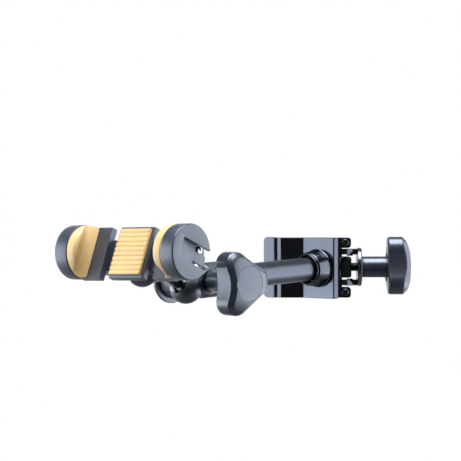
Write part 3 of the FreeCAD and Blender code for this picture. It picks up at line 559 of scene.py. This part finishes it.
LOBE_TOUCH = lobe_touch()


def lobed_radius(angle):
    """Distance from the knob's axis to its outline at an angle, with a lobe at 0."""
    third = math.radians(120)
    off = abs((angle + third / 2) % third - third / 2)
    if off < LOBE_TOUCH:
        return LOBE_CENTRE * math.cos(off) + math.sqrt(LOBE_RADIUS ** 2 - (LOBE_CENTRE * math.sin(off)) ** 2)
    toward = math.radians(60) - off
    aside = hollow_reach * math.sin(toward)
    return hollow_reach * math.cos(toward) - math.sqrt(FLANK_RADIUS ** 2 - aside ** 2)


def outline_point(angle, turn, inset):
    """A point of the outline, drawn in by inset at right angles to it."""
    def at(a):
        radius = lobed_radius(a - turn)
        return Vector((radius * math.cos(a), radius * math.sin(a)))
    along = at(angle + 0.01) - at(angle - 0.01)
    return at(angle) + Vector((-along.y, along.x)).normalized() * inset


def circle_through(a, b, c):
    """Centre and radius of the circle through three points."""
    d = 2 * (a[0] * (b[1] - c[1]) + b[0] * (c[1] - a[1]) + c[0] * (a[1] - b[1]))
    sa, sb, sc = (p[0] ** 2 + p[1] ** 2 for p in (a, b, c))
    x = (sa * (b[1] - c[1]) + sb * (c[1] - a[1]) + sc * (a[1] - b[1])) / d
    y = (sa * (c[0] - b[0]) + sb * (a[0] - c[0]) + sc * (b[0] - a[0])) / d
    return x, y, math.hypot(a[0] - x, a[1] - y)


# The dome's section, as (distance from the axis, height above the flat middle)
DOME_CIRCLE = circle_through((FACE_RADIUS, -0.05), (15.0, -1.3), (19.0, -3.1))


def dome(radius):
    """Height of the face above its flat middle at a distance from the axis."""
    if radius <= FACE_RADIUS:
        return 0.0
    centre_r, centre_z, reach = DOME_CIRCLE
    return centre_z + math.sqrt(reach ** 2 - (radius - centre_r) ** 2)


def knob(word, place, body, turn, nodes):
    """A knob of head, sleeve and flush disc; turn is the angle of its first lobe."""
    def side(inset, height):
        def point(angle):
            flat = outline_point(angle, turn, inset)
            return Vector((flat.x, flat.y, height))
        return point

    def shoulder(inset, below):
        """The slanted edge: inset from the outline, and depth below the face."""
        def point(angle):
            level = dome(outline_point(angle, turn, BAND).length)
            flat = outline_point(angle, turn, inset)
            return Vector((flat.x, flat.y, KNOB_TOP + level - below))
        return point

    def face(share):
        """The domed face, from its flat middle at share 0 to the slanted edge at 1."""
        def point(angle):
            last = shoulder(BAND, 0)(angle)
            radius = math.hypot(last.x, last.y)
            near = FACE_RADIUS + (radius - FACE_RADIUS) * share
            return Vector((last.x * near / radius, last.y * near / radius, KNOB_TOP + dome(near)))
        return point

    foot = SLEEVE
    rings = [ring(6.0, foot + 1.6), ring(9.0, foot + 1.6), ring(9.6, foot + 1.2), ring(9.8, foot + 0.2)]
    rings += [ring(10.2, foot), side(1.6, foot), side(0.9, foot + 0.15), side(0.4, foot + 0.55)]
    rings += [side(0.1, foot + 1.1), side(0, foot + 1.8)]
    edge = [(0, 3.4), (0.04, 3.05), (0.17, 2.7), (0.4, 2.4), (1.0, 1.8), (1.7, 1.1), (2.3, 0.5), (2.6, 0.24)]
    edge.append((BAND, 0))
    rings += [shoulder(inset, below) for inset, below in edge]
    rings += [face(share) for share in (0.86, 0.7, 0.55, 0.4, 0.28, 0.16, 0.06)]
    rings += [ring(FACE_RADIUS, KNOB_TOP - 0.02), ring(10.9, KNOB_TOP - 0.03), ring(10.8, KNOB_TOP - 0.1)]
    rings += [ring(10.75, KNOB_TOP - DISC_DEPTH), ring(1.0, KNOB_TOP - DISC_DEPTH)]
    head = lofted(word + "_head", rings, 240)
    fit_out(head, place, body, "knob_plastic", nodes[0])
    sleeve = lathed(word + "_sleeve", [
        (SCREW_HOLE, 0), (6.5, 0), (6.9, 0.15), (SLEEVE_RADIUS, 0.5), (SLEEVE_RADIUS, foot + 2),
        (SCREW_HOLE, foot + 2), (SCREW_HOLE, 0),
    ], 128)
    fit_out(sleeve, place, body, "knob_plastic", nodes[0])
    cap = lathed(word + "_disc", [
        (0.2, KNOB_TOP - 1.25), (10.6, KNOB_TOP - 1.25), (10.7, KNOB_TOP - 0.15), (10.65, KNOB_TOP - 0.06),
        (10.5, KNOB_TOP - 0.02), (0.2, KNOB_TOP - 0.02),
    ], 160)
    fit_out(cap, place, body, "knob_plastic", nodes[1])


# Arm and head
BOSS_REACH = 9.7
KNOB_FOOT = BOSS_REACH + 1.2
BARREL_NEAR, BARREL_FAR = -7.0, -23.4
BARREL_RADIUS = 12.4
TUBE_RADIUS, TUBE_BORE, TUBE_END = 7.75, 6.3, 104.6
SHELL_RADIUS, CAVITY_RADIUS, BALL_RADIUS = 10.15, 8.05, 7.0
MOUTH_ANGLE, MOUTH_REACH = 42, 14


def head_casting():
    """The head: socket for the tube, cross barrel, boss for the knob, and the ball's shell."""
    body = lathed("head_casting", [
        (1.0, 84), (10.4, 84), (10.85, 84.2), (11.0, 84.7), (11.0, 109), (10, 110), (1.0, 110),
    ], 160)
    barrel = lathed("barrel", [
        (1, BARREL_FAR), (BARREL_RADIUS - 0.3, BARREL_FAR), (BARREL_RADIUS, -23.1), (BARREL_RADIUS, -7.8),
        (BARREL_RADIUS - 0.8, BARREL_NEAR), (1, BARREL_NEAR),
    ], 160)
    boss = lathed("boss", [
        (1, 0), (8.2, 0), (8.2, BOSS_REACH - 0.3), (7.9, BOSS_REACH), (1, BOSS_REACH),
    ], 128)
    shell = placed(sphere("shell", SHELL_RADIUS), shift(0, -BALL_DROP, ARM_LENGTH + BALL_REACH))
    neck = lathed("neck", [(1, 103), (7.4, 103), (7.4, 121.5), (1, 121.5)], 96)
    neck = placed(neck, shift(0, -0.75 * BALL_DROP, 0))
    weld(body, placed(barrel, CROSSING), placed(boss, CROSSING), neck, shell)

    ball_place = ARM.inverted() @ BALL
    cavity = placed(sphere("cavity", CAVITY_RADIUS), ball_place)
    widest = 0.05 + MOUTH_REACH * math.tan(math.radians(MOUTH_ANGLE))
    mouth = placed(lathed("mouth", [(0.05, 0), (widest, MOUTH_REACH)], 96), ball_place)
    bore = lathed("bore", [(7.8, 80), (7.8, 104.8)], 96)
    plug = placed(lathed("plug_bore", [(9.0, -30), (9.0, -12.4)], 96), CROSSING)
    grub = placed(lathed("grub_hole", [(2.05, -16), (2.05, -6.7)], 48), shift(0, 0, 92) @ spin(-90, "X"))
    bolt_hole = placed(lathed("bolt_hole", [(3.1, -20), (3.1, 15)], 64), CROSSING)
    carve(body, cavity, mouth, bore, plug, grub, bolt_hole)
    round_edges(body, 0.35, 3)
    # The head wears the satin black whose lighter tone is painted light.
    fit_out(body, ARM, "arm", "black_casting", "arm_head", look=HEAD_SATIN_PAINTED_LIGHT)


def arm_pieces():
    tube = lathed("arm_pipe", [
        (TUBE_BORE, 0.6), (7.6, 0.6), (TUBE_RADIUS, 0.8), (TUBE_RADIUS, 104.4), (7.6, TUBE_END),
        (TUBE_BORE, TUBE_END), (TUBE_BORE, 0.6),
    ], 160)
    fit_out(tube, ARM, "arm", "black_tube", "arm_tube")
    head_casting()
    flange = lathed("draw_plate", [
        (SCREW_HOLE, -12.6), (8.9, -12.6), (8.9, -23.5), (9.6, -23.5), (9.6, -24.6), (14.7, -24.6),
        (15.05, -24.75), (15.2, -25.1), (15.2, -26.4), (15.05, -26.8), (14.6, -27.0), (12.6, -27.0),
        (12.2, -26.7), (0.3, -26.7), (0.3, -25.8), (SCREW_HOLE, -25.8), (SCREW_HOLE, -12.6),
    ], 160)
    # The draw plate wears the satin black whose lighter tone is painted light.
    fit_out(flange, KNOB_LINE, "arm", "black_casting", "draw_flange", look=HEAD_SATIN_PAINTED_LIGHT)
    washer = lathed("washer_ring", [
        (3.1, 9.8), (7.2, 9.8), (7.45, 9.95), (7.5, 10.3), (7.45, 10.65), (7.2, 10.8), (3.1, 10.8),
        (3.1, 9.8),
    ], 128)
    fit_out(washer, KNOB_LINE, "washer", "bright_steel", "knob_washer", look=DARK_STEEL)
    screw = shift(0, 0, -4.95) @ spin(180, "X")
    socket_screw("pivot_socket_screw", ARM @ screw, "arm", "bright_steel", "pivot_screw", 4.9, 2.6, 3.0, 20.2)
    washer = lathed("pivot_ring", [
        (SCREW_HOLE, -4.85), (5.8, -4.85), (6.0, -4.7), (6.0, -4.1), (5.8, -3.95), (SCREW_HOLE, -3.95),
        (SCREW_HOLE, -4.85),
    ], 96)
    fit_out(washer, ARM, "clamp", "bright_steel", "pivot_washer")


# Gripper. X runs from jaw to jaw, Y up along its face and -Z to the back
HOUSING_END, HOUSING_HALF = 33.7, 10
STEM_BORE = 3.65


def gripper_pieces():
    shell = round_edges(
        brick("grip_shell", -HOUSING_END, HOUSING_END, -HOUSING_HALF, HOUSING_HALF, -24.0, -17.4), 0.8, 4)
    # Each jaw's tongue slides in its own channel, open at that jaw's end
    for side in (1, -1):
        near, far = sorted((side * 0.7, side * 9.0))
        ends = sorted((side * -31.7, side * 35))
        carve(shell, brick("channel", ends[0], ends[1], near, far, -21.5, -17.3))
    fit_out(shell, GRIP, "gripper", "grip_plastic", "grip_housing")
    lid = brick("grip_lid", -HOUSING_END, HOUSING_END, -HOUSING_HALF, HOUSING_HALF, -17.3, -15.3)
    fit_out(round_edges(lid, 0.4), GRIP, "gripper", "grip_plastic", "grip_cover")
    rest = round_edges(brick("middle_rest", -14.2, 14.2, -16.5, 16.5, -15.2, -10.2), 1.0, 4)
    fit_out(rest, GRIP, "gripper", "grip_plastic", "back_rest")
    pad = brick("middle_pad", -12.4, 12.4, -14.5, 14.5, -10.1, -8.0)
    carve(pad, *[brick("groove", -14, 14, y - 0.45, y + 0.45, -8.5, -7) for y in range(-12, 13, 3)])
    round_edges(pad, 0.3, 2)
    fit_out(pad, GRIP, "gripper", "orange_rubber", "back_pad")
    stem = lathed("stem_cone", [
        (STEM_BORE, 29.8), (7.4, 29.8), (7.8, 29.95), (8.0, 30.4), (8.6, 32.0), (9.5, 34.0), (10.8, 35.4),
        (12.9, 36.5), (13.5, 36.9), (13.6, 37.3), (13.6, 38.9), (STEM_BORE, 38.9), (STEM_BORE, 29.8),
    ], 128)
    fit_out(stem, BALL, "gripper", "grip_plastic", "grip_stem")
    nut = prism("stem_hex", hexagon(6.7), 26.6, 29.6)
    carve(nut, lathed("nut_hole", [(STEM_BORE, 20), (STEM_BORE, 40)], 64))
    round_edges(nut, 0.3, 2)
    fit_out(nut, BALL, "gripper", "black_steel", "stem_nut")
    stud = lathed("stud_pin", [
        (1.0, 4), (2.9, 4), (2.9, 23.2), (3.3, 23.8), (4.0, 24.0), (5.3, 24.0), (5.5, 24.2), (5.5, 26.2),
        (5.3, 26.4), (3.6, 26.4), (3.6, 35.7), (3.3, 36.0), (1.0, 36.0),
    ], 96)
    weld(stud, sphere("stud_ball", BALL_RADIUS))
    fit_out(stud, BALL, "stud", "bright_steel", "ball_stud", look=DARK_STEEL)
    for side, word in ((1, "right"), (-1, "left")):
        jaw_pieces(side, word)


def coil(name, wire, radius, pitch, length):
    """A coil spring along Z."""
    bpy.ops.object.select_all(action="DESELECT")
    bpy.ops.mesh.primitive_circle_add(vertices=10, radius=wire, location=(radius, 0, wire),
                                      rotation=(math.radians(90), 0, 0))
    piece = bpy.context.object
    piece.name = name
    bpy.ops.object.transform_apply(location=True, rotation=True, scale=True)
    screw = piece.modifiers.new("turns", "SCREW")
    screw.angle = math.radians(360)
    screw.screw_offset = pitch
    screw.iterations = int((length - 2 * wire) / pitch)
    screw.steps = 20
    screw.render_steps = 20
    apply_all(piece)
    select_only(piece)
    bpy.ops.object.mode_set(mode="EDIT")
    bpy.ops.mesh.select_all(action="DESELECT")
    bpy.ops.mesh.select_non_manifold()
    bpy.ops.mesh.fill_holes(sides=0)
    bpy.ops.object.mode_set(mode="OBJECT")
    tidy_normals(piece)
    return piece


# Each jaw: slide with tongue, round cap with accessory shoe, soft pad with a groove
CAP_DEPTH = 10.0
CAP_INNER, CAP_OUTER = 38.9, 48.8
CAP_RADIUS = 16.65
LIP_INNER = 32.0
SHOE_FLOOR, SHOE_LIP = 44.8, 2.1
SHOE_HALF, MOUTH_HALF = 9.35, 6.25
SCREW_DEPTH, SCREW_ASIDE = 21.0, 5.3


def jaw_slide(word, place, body, line):
    back = CAP_INNER - 0.1
    plate = brick(word + "_slide", 22.0, back, -16.5, 16.5, -15.2, -10.8)
    base = placed(lathed("base", [(1, 36.3), (15.1, 36.3), (15.1, back), (1, back)], 128), line)
    carve(base, brick("limit", 30, 45, -20, 20, -10.9, 20))
    heel = brick("heel", 33.9, back, -9, 9, -21.4, -15.0)
    weld(plate, heel, brick("tongue", -17, 34.5, 0.9, 8.9, -21.4, -17.4), base)
    carve(plate, brick("slot", -13, 31, 2.6, 6.8, -23, -16))
    round_edges(plate, 0.35)
    fit_out(plate, place, body, "grip_plastic", word + "_jaw")


def jaw_cap(word, place, body, line):
    """The round cap with its shoe, and the two screws at the shoe's end."""
    cap = placed(lathed(word + "_disc", [
        (1, CAP_INNER), (CAP_RADIUS - 0.4, CAP_INNER), (CAP_RADIUS - 0.1, CAP_INNER + 0.15),
        (CAP_RADIUS, CAP_INNER + 0.6), (CAP_RADIUS, CAP_OUTER - 0.9), (CAP_RADIUS - 0.08, CAP_OUTER - 0.55),
        (CAP_RADIUS - 0.28, CAP_OUTER - 0.25), (CAP_RADIUS - 0.55, CAP_OUTER - 0.07),
        (CAP_RADIUS - 0.9, CAP_OUTER), (1, CAP_OUTER),
    ], 192), line)
    mouth = brick("mouth", SHOE_FLOOR, 50, -MOUTH_HALF, MOUTH_HALF, -30, -1.0)
    carve(cap, mouth, brick("wide", SHOE_FLOOR, CAP_OUTER - SHOE_LIP, -SHOE_HALF, SHOE_HALF, -30, -1.0))
    for half in (1, -1):
        near, far = sorted((half * 3.0, half * 8.85))
        carve(cap, brick("recess", SHOE_FLOOR - 1.2, SHOE_FLOOR + 0.5, near, far, -30, -16.3))
    round_edges(cap, 0.22, 2)
    fit_out(cap, place, body, "grip_plastic", word + "_cap")
    for aside, mark in ((SCREW_ASIDE, "a"), (-SCREW_ASIDE, "b")):
        seat = axes_at(Vector((SHOE_FLOOR - 1.5, aside, -SCREW_DEPTH)), Vector((0, 1, 0)), Vector((1, 0, 0)))
        name = "%s_cap_screw_%s" % (word, mark)
        socket_screw(name, place @ seat, body, "bright_steel", word + "_screws", 2.2, 1.2, 1.3, 9.0)


def jaw_soft(word, place, body, line):
    """The soft pad, cut level with the slide and grooved for the edge that it holds."""
    back = CAP_INNER - 0.15
    pad = placed(lathed(word + "_soft", [
        (1, LIP_INNER), (14.5, LIP_INNER), (15.25, LIP_INNER + 0.15), (15.8, LIP_INNER + 0.6),
        (16.1, LIP_INNER + 1.2), (16.25, LIP_INNER + 2.0), (16.35, CAP_INNER - 0.9), (16.0, CAP_INNER - 0.7),
        (15.9, back), (1, back),
    ], 192), line)
    groove = prism("groove", [(31.0, 4.43), (36.9, -2.65), (36.9, -5.05), (31.0, -12.13)], -30, 30)
    # The outline's second coordinate becomes Z and the height becomes Y
    groove.data.transform(Matrix(((1, 0, 0, 0), (0, 0, 1, 0), (0, 1, 0, 0), (0, 0, 0, 1))))
    tidy_normals(groove)
    carve(pad, groove, brick("behind", 30, 45, -20, 20, -40, -10.4))
    round_edges(pad, 0.35, 3)
    fit_out(pad, place, body, "orange_rubber", word + "_pad")


def jaw_pieces(side, word):
    place = GRIP if side == 1 else GRIP @ spin(180, "Z")
    body = word + "_grip"
    line = axes_at(Vector((0, 0, -CAP_DEPTH)), Vector((0, 0, -1)), Vector((1, 0, 0)))
    jaw_slide(word, place, body, line)
    jaw_cap(word, place, body, line)
    jaw_soft(word, place, body, line)
    channel = axes_at(Vector((0.5, 4.7, -19.4)), Vector((0, 0, -1)), Vector((1, 0, 0)))
    spring = coil(word + "_coil", 0.26, 1.4, 1.05, 19.0)
    fit_out(spring, place @ channel, "gripper", "bright_steel", word + "_spring")


# Light, backdrop and camera
# Tone of the floor and backdrop for the camera's rays, and for all others
SEEN_TONE, LIT_TONE = 0.8, 0.16


def white_stage(name, near, far):
    """Pale stage that shows the object's shadow within near metres and turns plain white by far."""
    pale = bpy.data.materials.new(name)
    pale.use_nodes = True
    tree = pale.node_tree
    shader = tree.nodes["Principled BSDF"]
    shader.inputs["Roughness"].default_value = 0.9
    white = node_of(tree, "ShaderNodeEmission")
    place = node_of(tree, "ShaderNodeTexCoord")
    length = node_of(tree, "ShaderNodeVectorMath", operation="LENGTH")
    tree.links.new(place.outputs["Object"], length.inputs[0])
    fade = node_of(tree, "ShaderNodeMapRange", interpolation_type="SMOOTHSTEP")
    fade.inputs["From Min"].default_value = near
    fade.inputs["From Max"].default_value = far
    tree.links.new(length.outputs["Value"], fade.inputs["Value"])
    path = node_of(tree, "ShaderNodeLightPath")
    tone = node_of(tree, "ShaderNodeMix", data_type="RGBA")
    tone.inputs["A"].default_value = (LIT_TONE, LIT_TONE, LIT_TONE, 1)
    tone.inputs["B"].default_value = (SEEN_TONE, SEEN_TONE, SEEN_TONE, 1)
    tree.links.new(path.outputs["Is Camera Ray"], tone.inputs["Factor"])
    tree.links.new(tone.outputs["Result"], shader.inputs["Base Color"])
    seen = node_of(tree, "ShaderNodeMath", operation="MAXIMUM")
    tree.links.new(path.outputs["Is Camera Ray"], seen.inputs[0])
    tree.links.new(path.outputs["Is Glossy Ray"], seen.inputs[1])
    both = node_of(tree, "ShaderNodeMath", operation="MAXIMUM")
    tree.links.new(seen.outputs["Value"], both.inputs[0])
    tree.links.new(path.outputs["Is Transmission Ray"], both.inputs[1])
    share = node_of(tree, "ShaderNodeMath", operation="MULTIPLY")
    tree.links.new(both.outputs["Value"], share.inputs[0])
    tree.links.new(fade.outputs["Result"], share.inputs[1])
    mix = node_of(tree, "ShaderNodeMixShader")
    tree.links.new(share.outputs["Value"], mix.inputs["Fac"])
    tree.links.new(shader.outputs["BSDF"], mix.inputs[1])
    tree.links.new(white.outputs["Emission"], mix.inputs[2])
    tree.links.new(mix.outputs["Shader"], tree.nodes["Material Output"].inputs["Surface"])
    return pale


FLOOR_DROP = 0.45
FLOOR_SIZE, FLOOR_SHIFT = 4, 1.55
BACKDROP_SIZE, BACKDROP_AWAY = 2.6, 2.2
AIR_COLOR, AIR_STRENGTH = (0.75, 0.78, 0.82, 1), 0.06
LAMP_COLOR = (0.95, 0.98, 1.0)
OBJECT_MIDDLE = Vector((-0.03, -0.08, 0.0))


def studio():
    floor_level = cad_box[0][2] - FLOOR_DROP
    bpy.ops.object.select_all(action="DESELECT")
    bpy.ops.mesh.primitive_plane_add(size=FLOOR_SIZE)
    floor = bpy.context.object
    floor.name = "floor"
    floor.data.transform(shift(0, FLOOR_SHIFT, floor_level))
    floor.data.materials.append(white_stage("pale_floor", 0.6, 1.1))
    bpy.ops.object.select_all(action="DESELECT")
    bpy.ops.mesh.primitive_plane_add(size=BACKDROP_SIZE)
    backdrop = bpy.context.object
    backdrop.name = "backdrop"
    backdrop.data.transform(shift(0, BACKDROP_AWAY, 0) @ spin(90, "X"))
    backdrop.data.materials.append(white_stage("pale_backdrop", 0.3, 0.7))

    world = bpy.data.worlds.new("studio_air")
    bpy.context.scene.world = world
    world.use_nodes = True
    air = world.node_tree
    background = air.nodes["Background"]
    background.inputs["Color"].default_value = AIR_COLOR
    background.inputs["Strength"].default_value = AIR_STRENGTH
    bright = node_of(air, "ShaderNodeBackground")
    bright.inputs["Color"].default_value = (1, 1, 1, 1)
    ray = node_of(air, "ShaderNodeLightPath")
    blend = node_of(air, "ShaderNodeMixShader")
    air.links.new(ray.outputs["Is Camera Ray"], blend.inputs["Fac"])
    air.links.new(background.outputs["Background"], blend.inputs[1])
    air.links.new(bright.outputs["Background"], blend.inputs[2])
    air.links.new(blend.outputs["Shader"], air.nodes["World Output"].inputs["Surface"])

    # The right box gives the light streak on the arm, the left one the sheen of the clamp's plate
    softbox("right_softbox", azimuth=96, height=-4, distance=1.0, width=1.6, tall=1.7, glow=2.6)
    softbox("left_softbox", azimuth=-88, height=0, distance=1.0, width=1.4, tall=0.8, glow=3.1)
    softbox("top_softbox", azimuth=0, height=82, distance=0.8, width=0.72, tall=0.7, glow=8.4)


def softbox(name, azimuth, height, distance, width, tall, glow):
    """An area lamp that looks at the object's middle from an azimuth and height in degrees.

    Azimuth 0 is the camera's side and 90 the object's right. glow is how bright the lamp's face is."""
    turn, lift = math.radians(azimuth), math.radians(height)
    away = Vector((math.sin(turn) * math.cos(lift), -math.cos(turn) * math.cos(lift), math.sin(lift)))
    lamp = bpy.data.lights.new(name, "AREA")
    lamp.shape = "RECTANGLE"
    lamp.size = width
    lamp.size_y = tall
    lamp.energy = glow * math.pi * width * tall
    lamp.color = LAMP_COLOR
    holder = bpy.data.objects.new(name, lamp)
    bpy.context.scene.collection.objects.link(holder)
    holder.location = OBJECT_MIDDLE + away * distance
    holder.rotation_euler = (-away).to_track_quat("-Z", "Y").to_euler()


FOCAL_PIXELS, PICTURE_PIXELS, SENSOR = 2000, 461, 36
CAMERA_PLACE, CAMERA_PITCH = (-0.0417, -1.34267, 0.0385), 0.6


def camera():
    """The photograph's viewpoint: in front of the clamp, a little to its left, looking slightly down."""
    lens = bpy.data.cameras.new("view")
    lens.sensor_width = SENSOR
    lens.lens = SENSOR * FOCAL_PIXELS / PICTURE_PIXELS
    holder = bpy.data.objects.new("view", lens)
    bpy.context.scene.collection.objects.link(holder)
    holder.location = CAMERA_PLACE
    holder.rotation_euler = (math.radians(90 - CAMERA_PITCH), 0, 0)
    bpy.context.scene.camera = holder


# The CAD nodes get the finish of their own material slot
slots = {part["node"]: part["material_slot"] for part in frame["record"]["subparts"]}
for name, node in frame["nodes"].items():
    node.data.materials.clear()
    node.data.materials.append(FINISHES[slots[name]])

# The clamp's knob starts at CLAMP_KNOB_FOOT along the screw, turned by CLAMP_KNOB_TURN degrees
CLAMP_KNOB_FOOT, CLAMP_KNOB_TURN = 46.3, -10
clamp_pieces()
rod = threaded_rod("clamp_screw_rod", 14.7, 70.4, 3.0, 1.0, 62.0)
fit_out(rod, SCREW_LINE, "screw", "black_steel", "clamp_screw", look=DARK_STEEL)
clamp_knob_place = CLAMP @ shift(CLAMP_KNOB_FOOT, 0, 0) @ SCREW_AXIS
knob("clamp_knob", clamp_knob_place, "screw", math.radians(CLAMP_KNOB_TURN), ("clamp_knob", "clamp_knob_cap"))
arm_pieces()
knob("arm_knob", KNOB_LINE @ shift(0, 0, KNOB_FOOT), "lock_knob", 0.0, ("arm_knob", "arm_knob_cap"))
gripper_pieces()
studio()
camera()
bpy.context.scene.view_settings.view_transform = "Standard"
